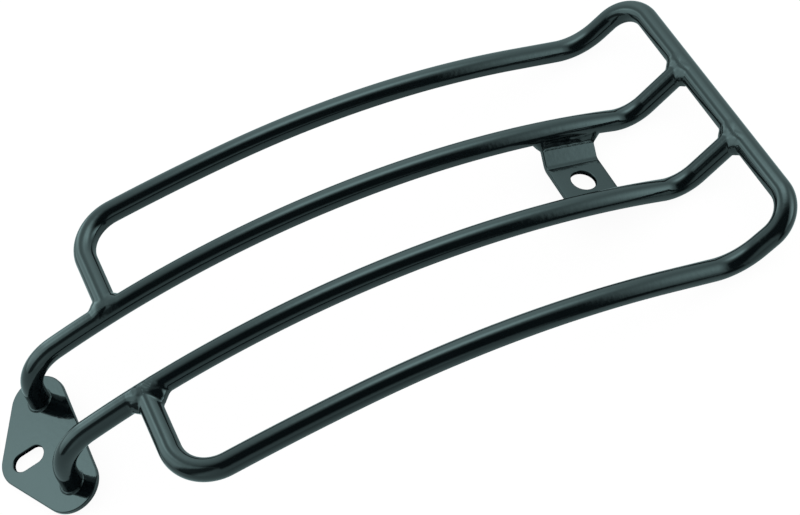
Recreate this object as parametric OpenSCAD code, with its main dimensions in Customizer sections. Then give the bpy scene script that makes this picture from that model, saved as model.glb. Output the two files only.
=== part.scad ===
// Welded tube luggage rack for a motorcycle with a solo seat.
// Millimetres. The rack lies as it rests on a flat table: the slotted plate is at the front (-Y),
// the raised crossbar at the back (+Y), +X is the right side and Z = 0 is the table.
// The side profiles are walked from the crossbar forward: each state is [y, z, heading].

/* [Tubes] */
// Outside diameter of every tube, over its paint
tube_d = 13; // [11:0.1:14]
// Wall thickness of every tube
tube_wall = 1.6; // [1:0.1:2.5]

/* [Hoop] */
// Width between the centre lines of the two hoop sides
hoop_w = 192; // [170:1:220]
// Angle of the raised lip above the flat stretch behind the arch
hoop_lip_angle = 48; // [40:0.5:55]
// Length from the lip bend to the crossbar centre line
hoop_lip_len = 28.5; // [26:0.1:36]
// Centre line radius of the lip bend
hoop_lip_r = 36; // [30:1:45]
// Centre line radius of the two back corners
back_corner_r = 20; // [17:0.5:24]
// Straight stretch ahead of the lip bend
hoop_flat = 30; // [20:1:40]
// Centre line radius of the arch
hoop_arch_r = 520; // [500:5:540]
// Angle swept by the arch
hoop_arch_angle = 20.6; // [20:0.1:21]
// Centre line radius of the flatter front stretch
hoop_nose_r = 1050; // [900:10:1400]
// Angle swept by the flatter front stretch
hoop_nose_angle = 4.18; // [4:0.01:5]
// Centre line radius of the two front corners
front_corner_r = 25; // [20:0.5:30]

/* [Rails] */
// Width between the centre lines of the two rails
rail_gap = 61.4; // [58:0.2:66]
// Angle of the rail's lip at the crossbar
rail_lip_angle = 50.5; // [50:0.5:51]
// Straight length from the crossbar centre line to the lip bend
rail_lip_len = 32; // [31:0.5:33]
// Centre line radius of the rail's lip bend
rail_lip_r = 25; // [24:0.5:26]
// Angle of the rail's lip bend
rail_lip_bend = 55.25; // [55:0.05:55.5]
// Centre line radius of the rail's arch
rail_arch_r = 518; // [515:1:521]
// Angle swept by the rail's arch
rail_arch_angle = 40; // [39.5:0.1:40.5]
// Centre line radius of the bend down to the plate
rail_foot_r = 30; // [27:0.5:33]
// Angle of the bend down to the plate
rail_foot_bend = 73; // [68:0.5:78]
// Straight length from that bend to the plate
rail_foot_len = 10.9; // [9:0.1:14]

/* [Front plate] */
// Thickness of the plate
plate_t = 3.2; // [2:0.1:5]
// Slope of the plate against the hoop's flat stretch
plate_pitch = 32.7; // [28:0.1:36]
// Radius of the three rounded corners
plate_r = 17.5; // [14:0.5:20]
// Distance between the centres of the two back corners
plate_w = 60; // [56:1:66]
// Distance from the rails' feet forward to the back corner centres
plate_shift = 1.8; // [0:0.1:4]
// Distance from the back corner centres forward to the front corner centre
plate_reach = 17.1; // [14:0.1:22]
// Overall length of the slot
slot_len = 20; // [14:0.5:24]
// Width of the slot
slot_w = 11.5; // [8:0.5:12]

/* [Rear bracket] */
// Thickness of the bracket strap
strap_t = 3.2; // [2:0.1:4]
// Width of the strap, front to back
strap_w = 35; // [28:1:40]
// Width of the strap's flat middle
strap_flat = 30; // [26:1:32]
// Slope of the strap's two legs
strap_leg_angle = 40; // [36:1:44]
// Inside radius of the strap's bends
strap_bend_r = 5; // [1.5:0.5:6]
// Distance from the crossbar's centre line forward to the middle of the strap
strap_back = 74.6; // [70:0.1:90]
// Drop from the rails' centre line to the strap's top face
strap_drop = 13.8; // [13:0.1:15]
// Diameter of the round hole
hole_d = 15.5; // [8:0.5:18]

/* [Welds] */
// Radius of the round nugget in each crotch of a tube joint
tee_weld_r = 7.6; // [7.2:0.1:8]
// Distance of the nugget's centre from the joint's centre
tee_weld_out = 3.4; // [3.2:0.1:3.8]
// Bead radius where a rail meets the plate
plate_weld_r = 2.6; // [2:0.1:3.2]
// Bead radius where the strap meets a rail
strap_weld_r = 4.4; // [3.8:0.1:5]

/* [Hidden] */
tube_r = tube_d / 2;
bore_r = tube_r - tube_wall;
rail_x = rail_gap / 2;
// A coped tube end stops this far short, so that it clears the tube it meets
cope_gap = 0.02;
// Straights and arches run this far into the tight bends next to them
lap = 0.3;
// A tight bend's wall is thinner by this much on each side, so that it ends inside its neighbours
thin = 0.05;
// Spare length of a tool that cuts right through
spare = 40;
small_fn = 64;
large_fn = 720;
bend_steps = 10;

// Half of the strap's flat up to its bend, and the length of a leg, which ends inside the rail
flat_half = strap_flat / 2 - strap_bend_r * tan(strap_leg_angle / 2);
leg_len = (rail_x - strap_flat / 2) / cos(strap_leg_angle);

// A state moved straight ahead by len
function ahead(s, len) = [s[0] + len * cos(s[2]), s[1] + len * sin(s[2]), s[2]];
// A state moved round an arc of centre line radius r, anticlockwise for a positive angle a
function turned(s, r, a) =
    let (g = sign(a))
    [s[0] + g * r * (sin(s[2] + a) - sin(s[2])),
     s[1] + g * r * (cos(s[2]) - cos(s[2] + a)),
     s[2] + a];

// Side profile of the hoop, from the crossbar to its front line
hoop_start = [0, 0, 180 + hoop_lip_angle];
hoop_lip_end = turned(ahead(hoop_start, hoop_lip_len), hoop_lip_r, -hoop_lip_angle);
hoop_arch_end = turned(ahead(hoop_lip_end, hoop_flat), hoop_arch_r, hoop_arch_angle);
hoop_nose_end = turned(hoop_arch_end, hoop_nose_r, hoop_nose_angle);
hoop_front = ahead(hoop_nose_end, front_corner_r);

// Side profile of a rail, from the crossbar to the plate's top face
rail_start = [0, 0, 180 + rail_lip_angle];
rail_lip_end = turned(ahead(rail_start, rail_lip_len), rail_lip_r, -rail_lip_bend);
rail_arch_end = turned(rail_lip_end, rail_arch_r, rail_arch_angle);
rail_foot = ahead(turned(rail_arch_end, rail_foot_r, rail_foot_bend), rail_foot_len);

// Centre of the rail's arch, and the height of the rail's centre line above the strap
arch_y = rail_lip_end[0] - rail_arch_r * sin(rail_lip_end[2]);
arch_z = rail_lip_end[1] + rail_arch_r * cos(rail_lip_end[2]);
rail_top_z = arch_z + sqrt(pow(rail_arch_r, 2) - pow(strap_back + arch_y, 2));
strap_z = rail_top_z - strap_drop;

// The rack rests on the plate's lower front edge and on the undersides of the rails' lip bends
plate_front = ahead([rail_foot[0], rail_foot[1], plate_pitch + 180], plate_shift + plate_reach + plate_r);
plate_edge = ahead(plate_front + [0, 0, 90], plate_t);
lip_centre = [rail_lip_end[0] + rail_lip_r * sin(rail_lip_end[2]),
              rail_lip_end[1] - rail_lip_r * cos(rail_lip_end[2])];
lip_out = rail_lip_r + tube_r - thin;
lip_dy = lip_centre[0] - plate_edge[0];
lip_dz = lip_centre[1] - plate_edge[1];
stand_angle = atan2(lip_dz, lip_dy) - asin(lip_out / norm([lip_dy, lip_dz]));

// Distance behind, and height above, the crossbar's centre line once the rack is turned to rest
function rest_y(p) = p[0] * cos(stand_angle) + p[1] * sin(stand_angle);
function rest_z(p) = p[1] * cos(stand_angle) - p[0] * sin(stand_angle);
// The origin is under the middle of the resting rack
stand_y = -(rest_y(plate_front) + tube_r) / 2;
stand_z = -rest_z(plate_edge);

// Turns the rack from the crossbar's frame to the way it rests on the table
module resting() {
    translate([0, stand_y, stand_z])
        rotate([-stand_angle, 0, 0])
            children();
}

// Puts a child, drawn with its own Z straight ahead, at a state of a side profile
module at_state(s) {
    translate([0, s[0], s[1]])
        rotate([s[2] - 90, 0, 0])
            children();
}

// Tube section: a ring, or the full disc when the tube is used to cut its neighbours
module section(bore, grow) {
    difference() {
        circle(r = tube_r + grow, $fn = small_fn);
        if (bore > 0) circle(r = bore - grow, $fn = small_fn);
    }
}

// Straight tube along Z, then its children at the far end
module straight(len, bore, grow = 0) {
    translate([0, 0, -lap])
        linear_extrude(height = len + 2 * lap)
            section(bore, grow);
    translate([0, 0, len])
        children();
}

// Part of a ring of tube that leaves along Z and turns towards Y
module arc_tube(r, a, over, bore, grow) {
    translate([0, r, 0])
        rotate([90, 0, -90])
            rotate([0, 0, -over])
                rotate_extrude(angle = a + 2 * over, $fn = r > 100 ? large_fn : small_fn)
                    translate([r, 0])
                        section(bore, grow);
}

// Moves its children round an arc that leaves along Z and turns towards Y
module round_arc(r, a) {
    translate([0, r, 0])
        rotate([-a, 0, 0])
            translate([0, -r, 0])
                children();
}

// Tight bend or thin-walled arch, turned towards Y rolled about Z, then its children
module bend(r, a, bore, roll = 0, grow = 0) {
    rotate([0, 0, roll]) {
        arc_tube(r, a, 0, bore, grow - thin);
        round_arc(r, a) rotate([0, 0, -roll]) children();
    }
}

// Long arch with full walls that laps into the bends at its ends, then its children
module arch(r, a, bore, roll = 0, grow = 0) {
    rotate([0, 0, roll]) {
        arc_tube(r, a, lap / r * 180 / PI, bore, grow);
        round_arc(r, a) rotate([0, 0, -roll]) children();
    }
}

// Right half of the hoop, from the back corner round to the right rail
module hoop_half(bore) {
    rotate([hoop_start[2], 0, 0])
        rotate([0, 90, 0])
            translate([0, 0, hoop_w / 2 - back_corner_r])
                bend(back_corner_r, 90, bore)
                straight(hoop_lip_len - back_corner_r, bore)
                bend(hoop_lip_r, hoop_lip_angle, bore, roll = -90)
                straight(hoop_flat, bore)
                bend(hoop_arch_r, hoop_arch_angle, bore, roll = 90)
                arch(hoop_nose_r, hoop_nose_angle, bore, roll = 90)
                bend(front_corner_r, 90, bore)
                straight(hoop_w / 2 - front_corner_r - rail_x, bore);
}

// One rail from the crossbar's centre line to below the plate's top face
module rail_path(bore) {
    at_state(rail_start)
        straight(rail_lip_len, bore)
        bend(rail_lip_r, rail_lip_bend, bore)
        arch(rail_arch_r, rail_arch_angle, bore, roll = 180)
        bend(rail_foot_r, rail_foot_bend, bore, roll = 180)
        straight(rail_foot_len + tube_r, bore);
}

// The rail's arch as a full rod, used only to cut
module rail_arch(grow = 0) {
    at_state(rail_lip_end)
        arch(rail_arch_r, rail_arch_angle, 0, 180, grow);
}

// The crossbar's straight tube, or a full rod to cut with
module crossbar(bore, grow = 0) {
    rotate([0, 90, 0])
        linear_extrude(height = hoop_w - 2 * back_corner_r + 2 * lap, center = true)
            section(bore, grow);
}

// The space at and below the plate's top face
module below_plate() {
    translate([0, rail_foot[0], rail_foot[1]])
        rotate([plate_pitch, 0, 0])
            translate([-spare / 2, -spare, -spare])
                cube([spare, 2 * spare, spare]);
}

// Hoop with its two ends coped to the outer sides of the rails
module hoop_tube() {
    color("#1d2424")
        resting()
            difference() {
                union() {
                    crossbar(bore_r);
                    hoop_half(bore_r);
                    mirror([1, 0, 0]) hoop_half(bore_r);
                }
                for (side = [-1, 1])
                    translate([side * rail_x, 0, 0])
                        rail_arch(cope_gap);
            }
}

// Rail with its back end coped to the crossbar and its foot cut flat on the plate
module rail(side) {
    color("#222a2b")
        resting()
            difference() {
                translate([side * rail_x, 0, 0]) rail_path(bore_r);
                crossbar(0, cope_gap);
                translate([side * rail_x, 0, 0]) below_plate();
            }
}

// Outline of the plate: three equal round corners joined by straight edges
module plate_outline() {
    edge = sqrt(pow(plate_w / 2, 2) + pow(plate_reach, 2));
    nx = plate_r * plate_reach / edge;
    ny = plate_r * plate_w / 2 / edge;
    polygon([[plate_w / 2, plate_r], [-plate_w / 2, plate_r],
             [-plate_w / 2 - nx, -ny], [-nx, -plate_reach - ny],
             [nx, -plate_reach - ny], [plate_w / 2 + nx, -ny]]);
    for (p = [[-plate_w / 2, 0], [plate_w / 2, 0], [0, -plate_reach]])
        translate(p) circle(r = plate_r, $fn = small_fn);
}

// Round-ended slot along the plate's middle line
module slot_outline() {
    run = slot_len - slot_w;
    square([slot_w, run], center = true);
    for (end = [-1, 1])
        translate([0, end * run / 2]) circle(d = slot_w, $fn = small_fn);
}

module front_plate() {
    color("#3a4647")
        resting()
            translate([0, rail_foot[0], rail_foot[1]])
                rotate([plate_pitch, 0, 0])
                    translate([0, -plate_shift, -plate_t])
                        difference() {
                            linear_extrude(height = plate_t) plate_outline();
                            translate([0, -plate_reach, -1])
                                linear_extrude(height = plate_t + 2) slot_outline();
                        }
}

// Points round the right bend of the strap, at radius r from the bend's centre
function strap_arc(r) = [for (i = [0:bend_steps])
    let (a = strap_leg_angle * i / bend_steps)
    [flat_half + r * sin(a), strap_bend_r - r * cos(a)]];
// The same points in the opposite order, and mirrored to the left side
function backward(pts) = [for (i = [1:len(pts)]) pts[len(pts) - i]];
function leftward(pts) = [for (p = backward(pts)) [-p[0], p[1]]];

// The strap without its hole or copes: a flat middle, two bends and two legs up into the rails
module strap_blank() {
    up = leg_len * [cos(strap_leg_angle), sin(strap_leg_angle)];
    top_arc = strap_arc(strap_bend_r);
    low_arc = strap_arc(strap_bend_r + strap_t);
    top = concat(top_arc, [top_arc[bend_steps] + up]);
    low = concat(low_arc, [low_arc[bend_steps] + up]);
    translate([0, -strap_back + strap_w / 2, strap_z])
        rotate([90, 0, 0])
            linear_extrude(height = strap_w)
                polygon(concat(leftward(top), top, backward(low), backward(leftward(low))));
}

// Places a child on the strap's right leg: X up the leg, Z = 0 on its top face
module on_leg() {
    translate([flat_half, -strap_back, strap_z + strap_bend_r])
        rotate([0, -strap_leg_angle, 0])
            translate([0, 0, -strap_bend_r])
                children();
}

module rear_bracket() {
    color("#2c3637")
        resting()
            difference() {
                strap_blank();
                translate([0, -strap_back, strap_z - strap_t - 1])
                    cylinder(h = strap_t + 2, d = hole_d, $fn = small_fn);
                for (side = [-1, 1])
                    translate([side * rail_x, 0, 0])
                        rail_arch();
            }
}

// Weld of a branch tube along Z to a tube along X: one nugget in each crotch
module tee_weld() {
    for (side = [-1, 1])
        rotate([0, side * 45, 0])
            translate([0, 0, tee_weld_out])
                sphere(r = tee_weld_r, $fn = small_fn);
}

module hoop_weld(side) {
    color("#161c1c")
        resting()
            difference() {
                translate([side * rail_x, hoop_front[0], hoop_front[1]])
                    rotate([hoop_front[2], 0, 0])
                        rotate([0, side * 90, 0])
                            rotate([0, 0, 90])
                                tee_weld();
                translate([side * rail_x, 0, 0]) rail_arch();
                translate([side * rail_x, hoop_front[0], hoop_front[1]])
                    rotate([0, side * 90, 0])
                        cylinder(h = spare, r = tube_r + cope_gap, $fn = small_fn);
            }
}

module crossbar_weld(side) {
    color("#161c1c")
        resting()
            difference() {
                translate([side * rail_x, 0, 0])
                    at_state(rail_start)
                        tee_weld();
                crossbar(0);
                translate([side * rail_x, 0, 0])
                    at_state(rail_start)
                        cylinder(h = rail_lip_len, r = tube_r + cope_gap, $fn = small_fn);
            }
}

module plate_weld(side) {
    color("#161c1c")
        resting()
            difference() {
                translate([side * rail_x, rail_foot[0], rail_foot[1]])
                    rotate([plate_pitch, 0, 0])
                        rotate_extrude($fn = small_fn)
                            translate([tube_r, 0])
                                circle(r = plate_weld_r, $fn = small_fn);
                translate([side * rail_x, 0, 0])
                    at_state(rail_foot)
                        translate([0, 0, -rail_foot_len])
                            cylinder(h = spare, r = tube_r, $fn = small_fn);
                translate([side * rail_x, 0, 0]) below_plate();
            }
}

// Bead that wraps the end of one strap leg: a rod with round ends along the rail
module bracket_weld(side) {
    over = strap_w / 2 + 1;
    color("#161c1c")
        resting()
            difference() {
                mirror([side < 0 ? 1 : 0, 0, 0])
                    on_leg()
                        translate([leg_len - tube_r - strap_t, 0, -strap_t / 2])
                            rotate([90, 0, 0]) {
                                cylinder(h = 2 * over, r = strap_weld_r, center = true,
                                         $fn = small_fn);
                                for (end = [-1, 1])
                                    translate([0, 0, end * over])
                                        sphere(r = strap_weld_r, $fn = small_fn);
                            }
                translate([side * rail_x, 0, 0]) rail_arch();
                strap_blank();
            }
}

module left_rail() rail(-1);
module right_rail() rail(1);
module left_hoop_weld() hoop_weld(-1);
module right_hoop_weld() hoop_weld(1);
module left_crossbar_weld() crossbar_weld(-1);
module right_crossbar_weld() crossbar_weld(1);
module left_plate_weld() plate_weld(-1);
module right_plate_weld() plate_weld(1);
module left_bracket_weld() bracket_weld(-1);
module right_bracket_weld() bracket_weld(1);

hoop_tube();
left_rail();
right_rail();
front_plate();
rear_bracket();
left_hoop_weld();
right_hoop_weld();
left_crossbar_weld();
right_crossbar_weld();
left_plate_weld();
right_plate_weld();
left_bracket_weld();
right_bracket_weld();
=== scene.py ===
"""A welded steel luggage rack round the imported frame.

Shapes are built in millimetres in the rack's own frame, whose origin is the middle of the crossbar. REST takes them
to the row frame, where the rack rests on the floor, and the finished pieces are in metres.
"""
import math

import bmesh
import bpy
import numpy as np
from mathutils import Matrix


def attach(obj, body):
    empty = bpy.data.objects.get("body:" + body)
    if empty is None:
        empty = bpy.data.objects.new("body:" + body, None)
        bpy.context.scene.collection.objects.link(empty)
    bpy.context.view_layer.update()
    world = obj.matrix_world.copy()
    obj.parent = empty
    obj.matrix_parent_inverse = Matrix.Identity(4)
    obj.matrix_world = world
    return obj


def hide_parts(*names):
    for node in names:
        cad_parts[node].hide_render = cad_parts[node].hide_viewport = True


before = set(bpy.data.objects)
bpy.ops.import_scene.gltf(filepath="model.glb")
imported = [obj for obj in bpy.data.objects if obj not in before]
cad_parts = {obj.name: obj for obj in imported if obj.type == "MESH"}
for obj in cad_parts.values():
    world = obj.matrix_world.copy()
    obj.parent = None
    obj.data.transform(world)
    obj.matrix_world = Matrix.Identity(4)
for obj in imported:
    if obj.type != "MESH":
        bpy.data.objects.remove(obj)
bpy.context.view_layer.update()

# ---------------------------------------------------------------- dimensions

# Millimetres and degrees, the same as the CAD source's. First the hoop, from the crossbar to the front line
TUBE_R = 6.5
HOOP_W = 192.0
HOOP_LIP_ANGLE = 48.0
HOOP_LIP_LEN = 28.5
HOOP_LIP_R = 36.0
BACK_CORNER_R = 20.0
HOOP_FLAT = 30.0
HOOP_ARCH_R = 520.0
HOOP_ARCH_ANGLE = 20.6
HOOP_NOSE_R = 1050.0
HOOP_NOSE_ANGLE = 4.18
FRONT_CORNER_R = 25.0
# The rails, from the crossbar to the plate
RAIL_X = 30.7
RAIL_LIP_ANGLE = 50.5
RAIL_LIP_LEN = 32.0
RAIL_LIP_R = 25.0
RAIL_LIP_BEND = 55.25
RAIL_ARCH_R = 518.0
RAIL_ARCH_ANGLE = 40.0
RAIL_FOOT_R = 30.0
RAIL_FOOT_BEND = 73.0
RAIL_FOOT_LEN = 10.9
# The plate and its slot
PLATE_T = 3.2
PLATE_PITCH = 32.7
PLATE_R = 17.5
PLATE_W = 60.0
PLATE_REACH = 17.1
PLATE_SHIFT = 1.8
SLOT_LEN = 20.0
SLOT_W = 11.5
# The strap and its hole
STRAP_T = 3.2
STRAP_W = 35.0
STRAP_FLAT = 30.0
STRAP_LEG_ANGLE = 40.0
STRAP_BEND_R = 5.0
STRAP_BACK = 74.6
STRAP_DROP = 13.8
HOLE_D = 15.5
# How much thinner than the straight ones the CAD's bent stretches are, on each side
THIN = 0.05
# Rounding of the plate's and the strap's edges, and how far the next row of vertices is from the rounding
PLATE_EDGE = 0.55
STRAP_EDGE = 0.5
EDGE_MARGIN = 0.12


def rad(a):
    return math.radians(a)


def ahead(s, n):
    """A place and heading in the side view (y, z, degrees), moved straight on by n."""
    return (s[0] + n * math.cos(rad(s[2])), s[1] + n * math.sin(rad(s[2])), s[2])


def turned(s, r, a):
    """A place and heading in the side view after a bend of radius r through a degrees."""
    g = 1 if a > 0 else -1
    return (s[0] + g * r * (math.sin(rad(s[2] + a)) - math.sin(rad(s[2]))),
            s[1] + g * r * (math.cos(rad(s[2])) - math.cos(rad(s[2] + a))), s[2] + a)


hoop_start = (0.0, 0.0, 180 + HOOP_LIP_ANGLE)
hoop_lip_end = turned(ahead(hoop_start, HOOP_LIP_LEN), HOOP_LIP_R, -HOOP_LIP_ANGLE)
hoop_arch_end = turned(ahead(hoop_lip_end, HOOP_FLAT), HOOP_ARCH_R, HOOP_ARCH_ANGLE)
hoop_front = ahead(turned(hoop_arch_end, HOOP_NOSE_R, HOOP_NOSE_ANGLE), FRONT_CORNER_R)
rail_start = (0.0, 0.0, 180 + RAIL_LIP_ANGLE)
rail_lip_end = turned(ahead(rail_start, RAIL_LIP_LEN), RAIL_LIP_R, -RAIL_LIP_BEND)
rail_arch_end = turned(rail_lip_end, RAIL_ARCH_R, RAIL_ARCH_ANGLE)
rail_foot = ahead(turned(rail_arch_end, RAIL_FOOT_R, RAIL_FOOT_BEND), RAIL_FOOT_LEN)
# The centre of the rails' long arch, and the height of the strap's top face
arch_y = rail_lip_end[0] - RAIL_ARCH_R * math.sin(rad(rail_lip_end[2]))
arch_z = rail_lip_end[1] + RAIL_ARCH_R * math.cos(rad(rail_lip_end[2]))
strap_z = arch_z + math.sqrt(RAIL_ARCH_R ** 2 - (STRAP_BACK + arch_y) ** 2) - STRAP_DROP
# The rack rests on the plate's lower front edge and on the undersides of the rails' lip bends
plate_front = ahead((rail_foot[0], rail_foot[1], PLATE_PITCH + 180), PLATE_SHIFT + PLATE_REACH + PLATE_R)
plate_edge = ahead((plate_front[0], plate_front[1], plate_front[2] + 90), PLATE_T)
lip_centre = (rail_lip_end[0] + RAIL_LIP_R * math.sin(rad(rail_lip_end[2])),
              rail_lip_end[1] - RAIL_LIP_R * math.cos(rad(rail_lip_end[2])))
lip_dy, lip_dz = lip_centre[0] - plate_edge[0], lip_centre[1] - plate_edge[1]
stand = math.atan2(lip_dz, lip_dy) - math.asin((RAIL_LIP_R + TUBE_R - THIN) / math.hypot(lip_dy, lip_dz))
stand_y = -(plate_front[0] * math.cos(stand) + plate_front[1] * math.sin(stand) + TUBE_R) / 2
stand_z = plate_edge[0] * math.sin(stand) - plate_edge[1] * math.cos(stand)
# Half the strap's straight middle, and the length of one of its bends
strap_straight = STRAP_FLAT / 2 - STRAP_BEND_R * math.tan(rad(STRAP_LEG_ANGLE / 2))
strap_turn = STRAP_BEND_R * rad(STRAP_LEG_ANGLE)

# ---------------------------------------------------------------- centre lines


def rot(axis, a):
    """4 x 4 matrix of a turn of a degrees about an axis."""
    c, s = math.cos(rad(a)), math.sin(rad(a))
    m = np.eye(4)
    i, j = {"x": (1, 2), "y": (2, 0), "z": (0, 1)}[axis]
    m[i, i] = m[j, j] = c
    m[i, j], m[j, i] = -s, s
    return m


def move(x, y, z):
    m = np.eye(4)
    m[:3, 3] = x, y, z
    return m


REST = move(0, stand_y, stand_z) @ rot("x", -math.degrees(stand))


class Walk:
    """A tube's centre line, walked piece by piece with local Z straight ahead."""

    def __init__(self, start):
        self.m = start
        self.rings = [start]

    def straight(self, length, step=4.0):
        n = max(1, int(math.ceil(length / step)))
        for i in range(1, n + 1):
            self.rings.append(self.m @ move(0, 0, length * i / n))
        self.m = self.rings[-1]
        return self

    def bend(self, r, angle, roll=0, step=1.2):
        """A bend towards local Y, or towards the side that roll turns local Y to."""
        n = max(2, int(math.ceil(r * rad(angle) / step)))
        at = self.m
        for i in range(1, n + 1):
            self.rings.append(at @ rot("z", roll) @ move(0, r, 0) @ rot("x", -angle * i / n) @ move(0, -r, 0)
                              @ rot("z", -roll))
        self.m = self.rings[-1]
        return self


def hoop_half():
    """The right half of the hoop, from the middle of the crossbar to the rail."""
    w = Walk(rot("x", hoop_start[2]) @ rot("y", 90))
    w.straight(HOOP_W / 2 - BACK_CORNER_R, 3)
    w.bend(BACK_CORNER_R, 90, 0, 0.8)
    w.straight(HOOP_LIP_LEN - BACK_CORNER_R)
    w.bend(HOOP_LIP_R, HOOP_LIP_ANGLE, -90, 1.0)
    w.straight(HOOP_FLAT)
    w.bend(HOOP_ARCH_R, HOOP_ARCH_ANGLE, 90, 3)
    w.bend(HOOP_NOSE_R, HOOP_NOSE_ANGLE, 90, 3)
    w.bend(FRONT_CORNER_R, 90, 0, 0.8)
    w.straight(HOOP_W / 2 - FRONT_CORNER_R - RAIL_X, 3)
    return w.rings


def rail_rings(x):
    """A rail, from the crossbar's centre line to 2 mm inside the plate."""
    w = Walk(move(x, rail_start[0], rail_start[1]) @ rot("x", rail_start[2] - 90))
    w.straight(RAIL_LIP_LEN, 3)
    w.bend(RAIL_LIP_R, RAIL_LIP_BEND, 0, 0.8)
    w.bend(RAIL_ARCH_R, RAIL_ARCH_ANGLE, 180, 3)
    w.bend(RAIL_FOOT_R, RAIL_FOOT_BEND, 180, 0.8)
    w.straight(RAIL_FOOT_LEN + 2, 3)
    return w.rings

# ---------------------------------------------------------------- meshes

MM = 0.001


def to_metres(points):
    """Points in the rack's own frame, in millimetres, to the row frame, in metres."""
    p = np.asarray(points, float)
    return (p @ REST[:3, :3].T + REST[:3, 3]) * MM


def linked(name, data):
    """A new object with a mesh or camera, in the scene."""
    obj = bpy.data.objects.new(name, data)
    bpy.context.scene.collection.objects.link(obj)
    return obj


def add_piece(name, verts, faces, node, material):
    """A smooth-shaded piece that stands for a CAD node."""
    mesh = bpy.data.meshes.new(name)
    mesh.from_pydata([tuple(v) for v in verts], [], [tuple(int(i) for i in f) for f in faces])
    mesh.validate()
    mesh.update()
    mesh.polygons.foreach_set("use_smooth", [True] * len(mesh.polygons))
    obj = linked(name, mesh)
    mesh.materials.append(material)
    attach(obj, "root")
    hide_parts(node)
    return obj


def tube(rings, sides=96):
    """A round tube's outside along a walked centre line, closed at both ends."""
    a = np.linspace(0, 2 * math.pi, sides, endpoint=False)
    circle = np.stack([TUBE_R * np.cos(a), TUBE_R * np.sin(a), 0 * a], -1)
    verts, faces = [], []
    for m in rings:
        verts.extend(circle @ m[:3, :3].T + m[:3, 3])
    for k in range(len(rings) - 1):
        for i in range(sides):
            j = (i + 1) % sides
            faces.append((k * sides + i, k * sides + j, (k + 1) * sides + j, (k + 1) * sides + i))
    faces.append(tuple(range(sides))[::-1])
    faces.append(tuple((len(rings) - 1) * sides + i for i in range(sides)))
    return np.array(verts), faces


def skin(bm, rows):
    """The faces between closed rows of vertices."""
    for one, two in zip(rows[:-1], rows[1:]):
        for i in range(len(one)):
            j = (i + 1) % len(one)
            bm.faces.new((one[i], one[j], two[j], two[i]))


def ring_edges(bm, ring):
    """The edges of a closed ring of vertices, made where there are none yet."""
    pairs = zip(ring, ring[1:] + ring[:1])
    return [bm.edges.get(pair) or bm.edges.new(pair) for pair in pairs]


def taken_out(bm):
    """The vertices and faces of a finished bmesh, which is freed."""
    bmesh.ops.recalc_face_normals(bm, faces=bm.faces)
    bm.verts.index_update()
    verts = [v.co.copy() for v in bm.verts]
    faces = [[v.index for v in f.verts] for f in bm.faces]
    bm.free()
    return verts, faces


def rounded_slab(outer, holes, thickness, edge, place):
    """A flat plate with rounded edges: outer and holes are loops of points and outward normals."""
    bm = bmesh.new()
    loops = []
    quarter = np.linspace(0, math.pi / 2, 6)
    profile = [(-edge - 0.15, 0.0)]
    profile += [(-edge + edge * math.sin(t), -edge + edge * math.cos(t)) for t in quarter]
    profile += [(0.0, -edge - EDGE_MARGIN), (0.0, -thickness + edge + EDGE_MARGIN)]
    profile += [(-edge + edge * math.cos(t), -thickness + edge - edge * math.sin(t)) for t in quarter]
    profile += [(-edge - 0.15, -thickness)]
    for points, normals in [outer] + holes:
        rows = []
        for off, h in profile:
            rows.append([bm.verts.new(place(*(p + off * n), h)) for p, n in zip(points, normals)])
        skin(bm, rows)
        loops.append(rows)
    for k in (0, -1):
        edges = [e for rows in loops for e in ring_edges(bm, rows[k])]
        bmesh.ops.triangle_fill(bm, edges=edges, use_beauty=True)
    return taken_out(bm)


def arc(cx, cy, r, a0, a1, n, sign=1):
    """Points of an arc with their outward normals; sign -1 is for a hole, whose normals point inwards."""
    out = []
    for a in np.linspace(rad(a0), rad(a1), n):
        d = np.array([math.cos(a), math.sin(a)])
        out.append((np.array([cx, cy]) + r * d, sign * d))
    return out


def closed(parts):
    """One loop of points and one of normals from several arcs."""
    pts = [q for part in parts for q in part]
    return np.array([p for p, n in pts]), np.array([n for p, n in pts])


def plate_loops():
    """The plate's outline, round three corners, and its round-ended slot."""
    lean = math.degrees(math.atan2(PLATE_W / 2, PLATE_REACH))
    half = PLATE_W / 2
    outer = closed([
        arc(half, 0, PLATE_R, -lean, 90, 40),
        arc(-half, 0, PLATE_R, 90, 180 + lean, 40),
        arc(0, -PLATE_REACH, PLATE_R, 180 + lean, 360 - lean, 30),
    ])
    run = (SLOT_LEN - SLOT_W) / 2
    r = SLOT_W / 2
    slot = closed([
        arc(0, -PLATE_REACH + run, r, 0, 180, 28, -1),
        arc(0, -PLATE_REACH - run, r, 180, 360, 28, -1),
    ])
    return outer, [slot]


def strap_point(s, w, h):
    """A point of the strap: s along its top face from the middle, w across it, h above its top face."""
    side = 1 if s >= 0 else -1
    s = abs(s)
    if s <= strap_straight:
        x, z = s, h
    else:
        a = min(s - strap_straight, strap_turn) / STRAP_BEND_R
        r = STRAP_BEND_R - h
        rest = max(0.0, s - strap_straight - strap_turn)
        x = strap_straight + r * math.sin(a) + rest * math.cos(a)
        z = STRAP_BEND_R - r * math.cos(a) + rest * math.sin(a)
    return np.array([side * x, -STRAP_BACK + w, strap_z + z])


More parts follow.
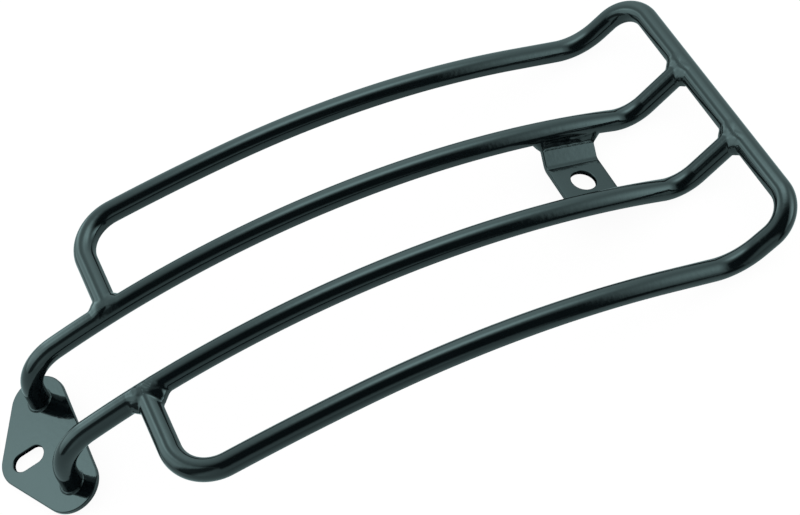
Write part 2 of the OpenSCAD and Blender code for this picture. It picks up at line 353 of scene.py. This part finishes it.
def strap_mesh(edge=STRAP_EDGE):
    """The bent strap with rounded edges and its round hole. The legs end 1 mm short of the rails' centre lines."""
    half = STRAP_W / 2
    inner = half - edge
    leg = (RAIL_X - STRAP_FLAT / 2) / math.cos(rad(STRAP_LEG_ANGLE)) - 1.0
    steps = [0.0, EDGE_MARGIN] + list(np.linspace(0.3, 2 * inner - 0.3, 13))
    steps += [2 * inner - EDGE_MARGIN, 2 * inner]
    top = [(-inner + t, 0.0) for t in steps]
    low = [(inner - t, -STRAP_T) for t in steps]
    quarter = np.linspace(0, math.pi / 2, 6)[1:-1]
    right = [(inner + edge * math.sin(t), -edge + edge * math.cos(t)) for t in quarter]
    right += [(half, -edge), (half, -edge - EDGE_MARGIN),
              (half, -STRAP_T + edge + EDGE_MARGIN), (half, -STRAP_T + edge)]
    right += [(inner + edge * math.cos(t), -STRAP_T + edge - edge * math.sin(t)) for t in quarter]
    left = [(-w, -STRAP_T - h) for w, h in right]
    section = top + right + low + left
    n_top, n_right = len(top), len(right)
    bend_end = strap_straight + strap_turn
    bends = list(np.linspace(strap_straight, bend_end, 9))
    legs = list(np.linspace(bend_end, bend_end + leg, 10))[1:]
    half_s = bends + legs
    stations = [-s for s in half_s[::-1]] + half_s
    mid = len(half_s) - 1
    bm = bmesh.new()
    rows = [[bm.verts.new(strap_point(s, w, h)) for w, h in section] for s in stations]
    count = len(section)
    low_start = n_top + n_right
    for k in range(len(rows) - 1):
        for i in range(count):
            j = (i + 1) % count
            on_face = i < n_top - 1 or low_start <= i < low_start + n_top - 1
            if k == mid and on_face:
                continue  # the two flat faces are filled round the hole below
            bm.faces.new((rows[k][i], rows[k][j], rows[k + 1][j], rows[k + 1][i]))
    bm.faces.new(rows[0][::-1])
    bm.faces.new(rows[-1])
    # the round hole with rounded rims, then the two flat faces round it
    r = HOLE_D / 2
    rim = [(0.2 + edge, 0.0), (edge, 0.0)]
    rim += [(edge - edge * math.sin(t), -edge + edge * math.cos(t)) for t in quarter]
    rim += [(0.0, -edge), (0.0, -edge - EDGE_MARGIN), (0.0, -STRAP_T + edge + EDGE_MARGIN), (0.0, -STRAP_T + edge)]
    rim += [(edge - edge * math.cos(t), -STRAP_T + edge - edge * math.sin(t)) for t in quarter]
    rim += [(edge, -STRAP_T), (0.2 + edge, -STRAP_T)]
    turns = np.linspace(0, 2 * math.pi, 72, endpoint=False)
    hole = [[bm.verts.new(strap_point((r + off) * math.cos(t), (r + off) * math.sin(t), h)) for t in turns]
            for off, h in rim]
    skin(bm, hole)
    for first, ring in ((0, hole[0]), (low_start, hole[-1])):
        one = rows[mid][first:first + n_top]
        two = rows[mid + 1][first:first + n_top]
        edges = ring_edges(bm, one + two[::-1]) + ring_edges(bm, ring)
        bmesh.ops.triangle_fill(bm, edges=edges, use_beauty=True)
    return taken_out(bm)


# ---------------------------------------------------------------- welds


def lumps(p, seed, size):
    """Smooth, repeatable lumps between about -1 and 1, of roughly the given size in millimetres."""
    rng = np.random.RandomState(seed)
    total = np.zeros(len(p))
    for _ in range(9):
        d = rng.normal(size=3)
        d /= np.linalg.norm(d)
        total += np.sin(p @ d * 2 * math.pi / (size * rng.uniform(0.8, 1.5)) + rng.uniform(0, 2 * math.pi))
    return total / 4.0


def line_tube(start, direction):
    """Signed distance to a round tube that starts at a point and runs straight on."""
    o, d = np.asarray(start, float), np.asarray(direction, float)
    d = d / np.linalg.norm(d)

    def f(p):
        q = p - o
        along = q @ d
        radial = np.linalg.norm(q - along[:, None] * d, axis=1) - TUBE_R
        out = np.stack([np.maximum(radial, 0), np.maximum(-along, 0)], -1)
        return np.linalg.norm(out, axis=1) + np.minimum(np.maximum(radial, -along), 0)
    return f


def full_tube(point, direction):
    """Signed distance to an endless round tube."""
    o, d = np.asarray(point, float), np.asarray(direction, float)
    d = d / np.linalg.norm(d)

    def f(p):
        q = p - o
        return np.linalg.norm(q - (q @ d)[:, None] * d, axis=1) - TUBE_R
    return f


def arch_tube(x):
    """Signed distance to a rail's long arch."""
    def f(p):
        r = np.hypot(p[:, 1] - arch_y, p[:, 2] - arch_z) - RAIL_ARCH_R
        return np.hypot(r, p[:, 0] - x) - TUBE_R
    return f


def plane_below(point, normal):
    """Signed distance to everything below a plane."""
    o, n = np.asarray(point, float), np.asarray(normal, float)

    def f(p):
        return (p - o) @ n
    return f


def box_at(centre, axes, half, round_off):
    """Signed distance to a box with rounded edges."""
    o, m, h = np.asarray(centre, float), np.asarray(axes, float), np.asarray(half, float) - round_off

    def f(p):
        q = np.abs((p - o) @ m.T) - h
        return np.linalg.norm(np.maximum(q, 0), axis=1) + np.minimum(q.max(axis=1), 0) - round_off
    return f


def soft_min(a, b, k):
    """The smaller of two distances, blended where they differ by less than k."""
    h = np.maximum(k - np.abs(a - b), 0) / k
    return np.minimum(a, b) - h * h * k / 4


def weld_surface(main, branch, leg, soft, full):
    """The filled corner between two surfaces. leg gives its leg at a point; full is 1 for a flat chamfer and 2 for a
    round bead."""
    def f(p):
        a, b = main(p), branch(p)
        c = leg(p)
        if full == 1:
            fill = (a + b - c) / math.sqrt(2)
        else:
            fill = (np.maximum(a, 0) ** full + np.maximum(b, 0) ** full + 1e-9) ** (1 / full) - c
        return soft_min(np.minimum(a, b), fill, soft)
    return f


def gradient(f, p, e=1e-3):
    g = np.empty_like(p)
    for k in range(3):
        d = np.zeros(3)
        d[k] = e
        g[:, k] = (f(p + d) - f(p - d)) / (2 * e)
    return g


def onto(f, p, steps=8, cap=0.8):
    """Points moved onto the surface f = 0."""
    for _ in range(steps):
        g = gradient(f, p)
        n2 = np.maximum((g * g).sum(axis=1), 0.05)
        move_by = -(f(p) / n2)[:, None] * g
        size = np.linalg.norm(move_by, axis=1)
        p = p + move_by * np.minimum(1, cap / np.maximum(size, 1e-9))[:, None]
    return p


def toe(other, path, reach, limit=14.0):
    """How far along each path the other surface is just out of the weld's reach."""
    s = np.linspace(0.0, limit, 281)
    found = None
    for v in s:
        d = other(path(v))
        if found is None:
            found = np.full(len(d), limit)
            open_ = np.ones(len(d), bool)
        hit = open_ & (d >= reach)
        found[hit] = v
        open_ &= ~hit
    return found


def smooth_round(values, passes=6):
    v = np.asarray(values, float)
    for _ in range(passes):
        v = (np.roll(v, 1) + 2 * v + np.roll(v, -1)) / 4
    return v


def weld_mesh(main, branch, leg, most, on_branch, on_main, soft=0.35, full=1, rows=26, sink=0.04):
    """Ring of weld between two surfaces, whose two edges sink a little under them. on_branch and on_main give the
    columns' points at a distance from the joint line; most is the largest leg."""
    reach = most * 1.06 + soft
    sb = smooth_round(toe(main, on_branch, reach))
    sm = smooth_round(toe(branch, on_main, reach))
    toe_b = onto(branch, on_branch(sb))
    toe_m = onto(main, on_main(sm))
    line = 0.5 * (on_branch(sb * 0) + on_main(sm * 0))
    f = weld_surface(main, branch, leg, soft, full)
    grid = []
    for t in np.linspace(0, 1, rows):
        chord = toe_b * (1 - t) + toe_m * t
        guess = chord + 0.15 * (4 * t * (1 - t)) * (line - chord) * (1 if full == 1 else -1)
        if t in (0.0, 1.0):
            q = onto(f, guess, 3)
            q = q - sink * gradient(f, q)
        else:
            q = onto(f, guess)
        grid.append(q)
    n = len(toe_b)
    verts = np.concatenate(grid)
    faces = []
    for k in range(rows - 1):
        for i in range(n):
            j = (i + 1) % n
            faces.append((k * n + i, k * n + j, (k + 1) * n + j, (k + 1) * n + i))
    return verts, faces


def tee_weld(origin, along_main, along_branch, main, branch, crotches, saddle, seed, columns=168):
    """Weld of a tube that meets another of the same size square on. crotches are its legs behind and ahead."""
    o = np.asarray(origin, float)
    ex, ez = np.asarray(along_main, float), np.asarray(along_branch, float)
    ey = np.cross(ez, ex)
    phi = np.linspace(0, 2 * math.pi, columns, endpoint=False)
    c, s = np.cos(phi), np.sin(phi)
    z0 = TUBE_R * np.abs(c)
    theta = np.arctan2(s, np.abs(c))

    def at(x, y, z):
        return o + x[:, None] * ex + y[:, None] * ey + z[:, None] * ez

    def on_branch(v):
        return at(TUBE_R * c, TUBE_R * s, z0 + v)

    def on_main(v):
        x = TUBE_R * c + v * c
        t = theta + v * s / TUBE_R
        return at(x, TUBE_R * np.sin(t), TUBE_R * np.cos(t))

    def leg(p):
        q = p - o
        x, y = q @ ex, q @ ey
        share = np.abs(x) / np.maximum(np.hypot(x, y), 1e-6)
        share = np.clip(share, 0, 1) ** 1.5
        crotch = np.where(x < 0, crotches[0], crotches[1])
        base = saddle + (crotch - saddle) * share
        return base * (1 + 0.03 * lumps(p, seed, 5.0) + 0.012 * lumps(p, seed + 1, 2.0))
    return weld_mesh(main, branch, leg, max(crotches), on_branch, on_main, soft=0.9)


def foot_weld(x, front, rear, seed, columns=144):
    """Weld bead round a rail's foot on the plate, fuller in front than behind."""
    o = np.array([x, rail_foot[0], rail_foot[1]])
    n = np.array([0, -math.sin(rad(PLATE_PITCH)), math.cos(rad(PLATE_PITCH))])
    d = -np.array([0, math.cos(rad(rail_foot[2])), math.sin(rad(rail_foot[2]))])
    ex = np.array([1.0, 0, 0])
    ey = np.cross(d, ex)
    phi = np.linspace(0, 2 * math.pi, columns, endpoint=False)
    ring = TUBE_R * (np.cos(phi)[:, None] * ex + np.sin(phi)[:, None] * ey)
    lift = -(ring @ n) / (d @ n)
    base = o + ring + lift[:, None] * d
    flat = base - o
    flat = flat / np.linalg.norm(flat, axis=1)[:, None]

    def on_branch(v):
        return base + np.reshape(v, (-1, 1)) * d

    def on_main(v):
        return base + np.reshape(v, (-1, 1)) * flat

    def leg(p):
        share = np.clip(0.5 - (p[:, 1] - o[1]) / (2 * TUBE_R), 0, 1)
        share = share * share * (3 - 2 * share)
        return (rear + (front - rear) * share) * (1 + 0.09 * lumps(p, seed, 4.0) + 0.02 * lumps(p, seed + 1, 1.8))
    return weld_mesh(plane_below(o, n), full_tube(o, d), leg, front, on_branch, on_main, soft=0.2, full=2)


def strap_weld(side, leg_size, seed, columns=240):
    """Weld round the end of one strap leg, on the rail's long arch."""
    a = rad(STRAP_LEG_ANGLE)
    up = np.array([side * math.cos(a), 0, math.sin(a)])
    out = np.array([-side * math.sin(a), 0, math.cos(a)])
    start = strap_point(side * (strap_straight + strap_turn), 0, -STRAP_T / 2)
    length = (RAIL_X - STRAP_FLAT / 2) / math.cos(a)
    middle = start + up * length / 2
    ey = np.array([0, 1.0, 0])
    leg_box = box_at(middle, [up, ey, out], [length / 2 + 4, STRAP_W / 2, STRAP_T / 2], STRAP_EDGE)
    rail = arch_tube(side * RAIL_X)
    # the outline of the leg's section, a rounded rectangle walked once round
    r = STRAP_EDGE
    w, t = STRAP_W / 2 - r, STRAP_T / 2 - r
    pts, nor = [], []
    spare = columns - 4 * 10
    long_n, short_n = int(spare * 0.40), int(spare * 0.10)
    for cw, ct, a0, n_side, dw, dt in ((w, t, 0, long_n, -1, 0), (-w, t, 90, short_n, 0, -1),
                                       (-w, -t, 180, long_n, 1, 0), (w, -t, 270, short_n, 0, 1)):
        for b in np.linspace(a0, a0 + 90, 10):
            nor.append((math.cos(rad(b)), math.sin(rad(b))))
            pts.append((cw + r * nor[-1][0], ct + r * nor[-1][1]))
        span = 2 * w if dw else 2 * t
        for k in range(1, n_side):
            m = (math.cos(rad(a0 + 90)), math.sin(rad(a0 + 90)))
            pts.append((cw + r * m[0] + dw * span * k / n_side, ct + r * m[1] + dt * span * k / n_side))
            nor.append(m)
    pts, nor = np.array(pts), np.array(nor)
    line = start + pts[:, :1] * ey + pts[:, 1:] * out + up * (length * 0.4)
    # slide each point up the leg until it meets the rail
    for _ in range(40):
        line = line + up * np.maximum(rail(line), 0)[:, None] * 0.9

    def on_branch(v):
        return line - np.reshape(v, (-1, 1)) * up

    def on_main(v):
        return onto(rail, line + np.reshape(v, (-1, 1)) * (nor[:, :1] * ey + nor[:, 1:] * out), 4)

    def leg(p):
        end = np.clip((np.abs((p - start) @ ey) - STRAP_W / 2 + 1.5) / 1.5, 0, 1)
        size = leg_size[0] + (leg_size[1] - leg_size[0]) * end
        return size * (1 + 0.07 * lumps(p, seed, 6.0) + 0.01 * lumps(p, seed + 1, 3.0))
    return weld_mesh(rail, leg_box, leg, max(leg_size), on_branch, on_main)


# ---------------------------------------------------------------- paint

# Noise scales per metre: the colour's clouds, the roughness's patches, the sprayed coat's ripple and its grain
CLOUDS, PATCHES, RIPPLE, GRAIN = 45, 110, 330, 1500
SPECULAR_TINT = (0.95, 1.0, 1.0, 1)
BLACK = (0.0014, 0.0028, 0.0034)


def paint(name, low, high, roughness, peel, grain):
    """Gloss black paint on steel: faint colour and roughness variation, and the fine ripple of a sprayed coat."""
    mat = bpy.data.materials.new(name)
    mat.use_nodes = True
    nt = mat.node_tree
    bsdf = nt.nodes["Principled BSDF"]
    bsdf.inputs["IOR"].default_value = 1.5
    bsdf.inputs["Specular IOR Level"].default_value = 0.5
    bsdf.inputs["Specular Tint"].default_value = SPECULAR_TINT
    where = nt.nodes.new("ShaderNodeTexCoord")

    def noise(scale, detail, rough):
        n = nt.nodes.new("ShaderNodeTexNoise")
        n.inputs["Scale"].default_value = scale
        n.inputs["Detail"].default_value = detail
        n.inputs["Roughness"].default_value = rough
        nt.links.new(where.outputs["Object"], n.inputs["Vector"])
        return n.outputs["Fac"]

    def ramp(source, a, b):
        """From a to b over the middle of the noise's values."""
        m = nt.nodes.new("ShaderNodeMapRange")
        m.inputs["From Min"].default_value = 0.35
        m.inputs["From Max"].default_value = 0.65
        m.inputs["To Min"].default_value = a
        m.inputs["To Max"].default_value = b
        nt.links.new(source, m.inputs["Value"])
        return m.outputs["Result"]

    cloud = noise(CLOUDS, 3, 0.5)
    mix = nt.nodes.new("ShaderNodeMix")
    mix.data_type = "RGBA"
    mix.inputs["A"].default_value = (*low, 1)
    mix.inputs["B"].default_value = (*high, 1)
    nt.links.new(ramp(cloud, 0, 1), mix.inputs["Factor"])
    nt.links.new(mix.outputs["Result"], bsdf.inputs["Base Color"])
    nt.links.new(ramp(noise(PATCHES, 4, 0.6), roughness * 0.85, roughness * 1.2), bsdf.inputs["Roughness"])
    ripple = nt.nodes.new("ShaderNodeBump")
    ripple.inputs["Strength"].default_value = 1.0
    ripple.inputs["Distance"].default_value = peel
    nt.links.new(noise(RIPPLE, 2, 0.4), ripple.inputs["Height"])
    fine = nt.nodes.new("ShaderNodeBump")
    fine.inputs["Strength"].default_value = 1.0
    fine.inputs["Distance"].default_value = grain
    nt.links.new(noise(GRAIN, 2, 0.5), fine.inputs["Height"])
    nt.links.new(ripple.outputs["Normal"], fine.inputs["Normal"])
    nt.links.new(fine.outputs["Normal"], bsdf.inputs["Normal"])
    return mat


gloss = paint("gloss_black_paint", BLACK, (0.0020, 0.0036, 0.0043), roughness=0.09, peel=0.00004, grain=0.0000008)
weld_gloss = paint("gloss_black_paint_on_welds", BLACK, (0.0022, 0.0038, 0.0045), roughness=0.12, peel=0.00001,
                   grain=0.000001)

# ---------------------------------------------------------------- pieces

half = hoop_half()
mirror_x = np.diag([-1.0, 1, 1, 1])
hoop_rings = [mirror_x @ m for m in half[::-1]] + half[1:]
hoop_v, hoop_f = tube([REST @ m for m in hoop_rings])
add_piece("hoop", hoop_v * MM, hoop_f, "hoop_tube", gloss)
for side, word in ((-1, "left"), (1, "right")):
    v, f = tube([REST @ m for m in rail_rings(side * RAIL_X)])
    add_piece("rail_" + word, v * MM, f, word + "_rail", gloss)

plate_at = move(0, rail_foot[0], rail_foot[1]) @ rot("x", PLATE_PITCH)


def on_plate(x, y, h):
    """A point of the plate, with h above its top face, in the row frame."""
    return (REST @ plate_at @ np.array([x, y - PLATE_SHIFT, h, 1.0]))[:3] * MM


outer, holes = plate_loops()
v, f = rounded_slab(outer, holes, PLATE_T, PLATE_EDGE, on_plate)
add_piece("plate", v, f, "front_plate", gloss)
v, f = strap_mesh()
add_piece("bracket", to_metres([tuple(p) for p in v]), f, "rear_bracket", gloss)

# Leg lengths of the welds: the crossbar's and the hoop's in their two corners, the foot's in front and behind, and
# the strap's along and at the ends. A saddle is a leg half way between the two corners
CROSSBAR_LEGS, CROSSBAR_SADDLE = (4.2, 4.2), 0.8
HOOP_LEGS, HOOP_SADDLE = {"left": (3.7, 4.5), "right": (6.4, 4.5)}, 0.5
FOOT_LEGS = (1.1, 0.5)
STRAP_LEGS = (3.0, 4.6)
crossbar = full_tube((0, 0, 0), (1, 0, 0))
lip = np.array([0, math.cos(rad(rail_start[2])), math.sin(rad(rail_start[2]))])
front_dir = np.array([0, math.cos(rad(hoop_front[2])), math.sin(rad(hoop_front[2]))])
for side, word in ((-1, "left"), (1, "right")):
    at = (side * RAIL_X, 0, 0)
    v, f = tee_weld(at, (1, 0, 0), lip, crossbar, line_tube(at, lip), CROSSBAR_LEGS, CROSSBAR_SADDLE,
                    11 + side)
    add_piece("weld_crossbar_" + word, to_metres(v), f, word + "_crossbar_weld", weld_gloss)
    at = (side * RAIL_X, hoop_front[0], hoop_front[1])
    v, f = tee_weld(at, front_dir, (side, 0, 0), arch_tube(side * RAIL_X), line_tube(at, (side, 0, 0)),
                    HOOP_LEGS[word], HOOP_SADDLE, 21 + side)
    add_piece("weld_hoop_" + word, to_metres(v), f, word + "_hoop_weld", weld_gloss)
    v, f = foot_weld(side * RAIL_X, *FOOT_LEGS, 31 + side)
    add_piece("weld_foot_" + word, to_metres(v), f, word + "_plate_weld", weld_gloss)
    v, f = strap_weld(side, STRAP_LEGS, 41 + side)
    add_piece("weld_bracket_" + word, to_metres(v), f, word + "_bracket_weld", weld_gloss)

# ---------------------------------------------------------------- floor, light and camera


FLOOR_HALF = 8.0
FLOOR_COLOUR = 0.08
FLOOR_GLOW = 0.94
# Height above the floor and number of sides of the painted shadows' black ovals
SHADE_Z = 0.0003
SHADE_SIDES = 48
TENT_R = 1.1
TENT_Z = 0.035
TENT_COLOUR = (0.68, 0.98, 0.99, 1)


def seen_by_gloss_only(obj):
    for kind in ("camera", "diffuse", "shadow", "transmission", "volume_scatter"):
        setattr(obj, "visible_" + kind, False)


def floor():
    """A wide pale floor, which lights itself a little and which the gloss doesn't see."""
    mesh = bpy.data.meshes.new("floor")
    s = FLOOR_HALF
    mesh.from_pydata([(-s, -s, 0), (s, -s, 0), (s, s, 0), (-s, s, 0)], [], [(0, 1, 2, 3)])
    obj = linked("floor", mesh)
    mat = bpy.data.materials.new("pale_floor")
    mat.use_nodes = True
    b = mat.node_tree.nodes["Principled BSDF"]
    b.inputs["Base Color"].default_value = (FLOOR_COLOUR, FLOOR_COLOUR, FLOOR_COLOUR, 1)
    b.inputs["Roughness"].default_value = 1.0
    b.inputs["Specular IOR Level"].default_value = 0.0
    b.inputs["Emission Color"].default_value = (1.0, 1.0, 1.0, 1)
    b.inputs["Emission Strength"].default_value = FLOOR_GLOW
    mat.cycles.emission_sampling = "NONE"
    mesh.materials.append(mat)
    obj.visible_glossy = False


def shade(name, y, rx, ry):
    """A painted shadow: a black oval on the floor under a holed piece, in millimetres, standing in for the shadow
    the piece casts; the walls of the piece's hole mirror it.
    """
    mesh = bpy.data.meshes.new(name)
    turns = [2 * math.pi * i / SHADE_SIDES for i in range(SHADE_SIDES)]
    ring = [(rx * MM * math.cos(a), (y + ry * math.sin(a)) * MM, SHADE_Z) for a in turns]
    mesh.from_pydata(ring, [], [tuple(range(SHADE_SIDES))])
    obj = linked(name, mesh)
    # plain black without gloss: painted shadow
    mat = bpy.data.materials.get("shade") or bpy.data.materials.new("shade")
    mat.use_nodes = True
    b = mat.node_tree.nodes["Principled BSDF"]
    b.inputs["Base Color"].default_value = (0.0, 0.0, 0.0, 1)
    b.inputs["Specular IOR Level"].default_value = 0.0
    mesh.materials.append(mat)
    seen_by_gloss_only(obj)


floor()
# Painted shadows: black ovals under the plate and the strap, seen only in gloss, stand in for the shadows these
# pieces cast
shade("painted_shadow_under_plate", y=-217.0, rx=18.0, ry=15.5)
shade("painted_shadow_under_strap", y=142.0, rx=14.5, ry=14.5)

world = bpy.data.worlds.new("white")
bpy.context.scene.world = world
world.use_nodes = True
world.node_tree.nodes["Background"].inputs["Color"].default_value = (1.0, 1.0, 1.0, 1)
world.node_tree.nodes["Background"].inputs["Strength"].default_value = 1.0
world.cycles_visibility.glossy = False


def tent():
    """A round light tent about 1.1 m away, which only the gloss sees: bright cloth high on the left and low at the
    front, and a dark opening on the right."""
    bm = bmesh.new()
    bmesh.ops.create_uvsphere(bm, u_segments=96, v_segments=48, radius=TENT_R)
    bmesh.ops.reverse_faces(bm, faces=bm.faces)
    mesh = bpy.data.meshes.new("tent")
    bm.to_mesh(mesh)
    bm.free()
    obj = linked("tent", mesh)
    obj.location = (0, 0, TENT_Z)
    seen_by_gloss_only(obj)
    mat = bpy.data.materials.new("tent_cloth")
    mesh.materials.append(mat)
    mat.use_nodes = True
    mat.cycles.emission_sampling = "NONE"
    nt = mat.node_tree
    nt.nodes.remove(nt.nodes["Principled BSDF"])
    glow = nt.nodes.new("ShaderNodeEmission")
    nt.links.new(glow.outputs["Emission"], nt.nodes["Material Output"].inputs["Surface"])
    coord = nt.nodes.new("ShaderNodeTexCoord")
    split = nt.nodes.new("ShaderNodeSeparateXYZ")
    nt.links.new(coord.outputs["Object"], split.inputs["Vector"])

    def put(socket, value):
        """A number is set on the socket, and another node's output is linked to it."""
        if isinstance(value, (int, float)):
            socket.default_value = value
        else:
            nt.links.new(value, socket)

    def op(kind, a, b=0.0):
        n = nt.nodes.new("ShaderNodeMath")
        n.operation = kind
        put(n.inputs[0], a)
        put(n.inputs[1], b)
        return n.outputs[0]

    def step(value, a, b):
        """0 below a and 1 above b, or the other way round when a is above b."""
        n = nt.nodes.new("ShaderNodeMapRange")
        n.interpolation_type = "SMOOTHSTEP"
        put(n.inputs["Value"], value)
        put(n.inputs["From Min"], min(a, b))
        put(n.inputs["From Max"], max(a, b))
        put(n.inputs["To Min"], 0.0 if a < b else 1.0)
        put(n.inputs["To Max"], 1.0 if a < b else 0.0)
        return n.outputs["Result"]

    def product(*terms):
        out = terms[0]
        for t in terms[1:]:
            out = op("MULTIPLY", out, t)
        return out

    def total(*terms):
        out = terms[0]
        for t in terms[1:]:
            out = op("ADD", out, t)
        return out

    def lobe(u0, v0, su, sv, strength):
        """A soft patch of light, or of dark, round a point of the tent, with its widths along u and v."""
        du = op("DIVIDE", op("SUBTRACT", u, u0), su)
        dv = op("DIVIDE", op("SUBTRACT", v, v0), sv)
        q = op("ADD", op("MULTIPLY", du, du), op("MULTIPLY", dv, dv))
        return op("MULTIPLY", op("EXPONENT", op("MULTIPLY", q, -1.0)), strength)

    def curve(a, b, c):
        """a + b v + c v^2"""
        return op("ADD", op("MULTIPLY", op("ADD", op("MULTIPLY", v, c), b), v), a)

    # u and v: the tent's upper half laid flat, 0 overhead and 1 at the horizon, and so its lower half
    z = op("DIVIDE", split.outputs["Z"], TENT_R)
    scale = op("MULTIPLY", op("SQRT", op("ADD", 1.0, op("ABSOLUTE", z))), TENT_R)
    u = op("DIVIDE", split.outputs["X"], scale)
    v = op("DIVIDE", split.outputs["Y"], scale)
    cloth = op("ADD", op("MULTIPLY", step(u, -0.12, -0.40), 0.32), 0.84)
    light = total(
        cloth,
        lobe(-0.18, 0.33, 0.18, 0.21, 3.5),
        lobe(-0.28, 0.09, 0.18, 0.14, 2.2),
        lobe(-0.61, 0.25, 0.30, 0.37, 1.2),
        lobe(-0.83, -0.44, 0.70, 0.10, 1.8),
        lobe(-0.36, -0.46, 0.12, 0.12, 1.4),
        lobe(-0.18, -0.70, 0.55, 0.24, 1.9),
        lobe(0.42, 0.78, 0.40, 0.15, 3.2),
        lobe(-0.83, 0.70, 0.26, 0.68, -0.6),
    )
    # the dark opening on the right between two curved edges, and the darker gap in front of it
    from_left = op("SUBTRACT", u, curve(0.0, 0.36, 0.14))
    from_right = op("SUBTRACT", u, curve(0.76, 0.44, 0.24))
    opening = product(step(from_left, -0.18, 0.17), step(from_right, 0.11, -0.11), step(v, 0.565, 0.475),
                      step(v, -0.35, -0.30), 0.965)
    gap = product(step(u, -0.03, 0.14), step(u, 0.58, 0.34), step(v, -0.30, -0.35), 0.90)
    above = product(light, op("SUBTRACT", 1.0, opening), op("SUBTRACT", 1.0, gap))
    below = total(0.82, lobe(-0.20, 0.12, 0.50, 0.35, -0.62), lobe(1.0, 0.0, 0.18, 0.35, -0.30))
    # the opening runs on a little below the horizon
    notch = product(opening, step(u, 0.60, 0.75), step(v, 0.25, 0.35))
    below = op("MULTIPLY", below, op("SUBTRACT", 1.0, notch))
    high = step(split.outputs["Z"], -0.02, 0.02)
    glow_strength = op("ADD", op("MULTIPLY", high, above), op("MULTIPLY", op("SUBTRACT", 1.0, high), below))
    nt.links.new(glow_strength, glow.inputs["Strength"])
    glow.inputs["Color"].default_value = TENT_COLOUR


tent()

# The camera: its place, the picture's right and the way back from the view, all in the row frame
CAMERA_AT = 0.618927, -0.078283, 0.874141
CAMERA_RIGHT = 0.408848, 0.892513, -0.190428
CAMERA_BACK = 0.584801, -0.096033, 0.805472
CAMERA_LENS = 82.65
SENSOR_WIDTH = 36.0
camera = bpy.data.cameras.new("camera")
camera_obj = linked("camera", camera)
bpy.context.scene.camera = camera_obj
camera.lens = CAMERA_LENS
camera.sensor_width = SENSOR_WIDTH
camera.clip_start, camera.clip_end = 0.05, 50
right, back = np.array(CAMERA_RIGHT), np.array(CAMERA_BACK)
right = right / np.linalg.norm(right)
up = np.cross(back, right)
up = up / np.linalg.norm(up)
back = np.cross(right, up)
pose = np.eye(4)
pose[:3, 0], pose[:3, 1], pose[:3, 2] = right, up, back
pose[:3, 3] = CAMERA_AT
camera_obj.matrix_world = Matrix(pose.tolist())

view = bpy.context.scene.view_settings
view.view_transform = "Standard"
view.look = "None"
view.exposure = 0.0
view.gamma = 1.0
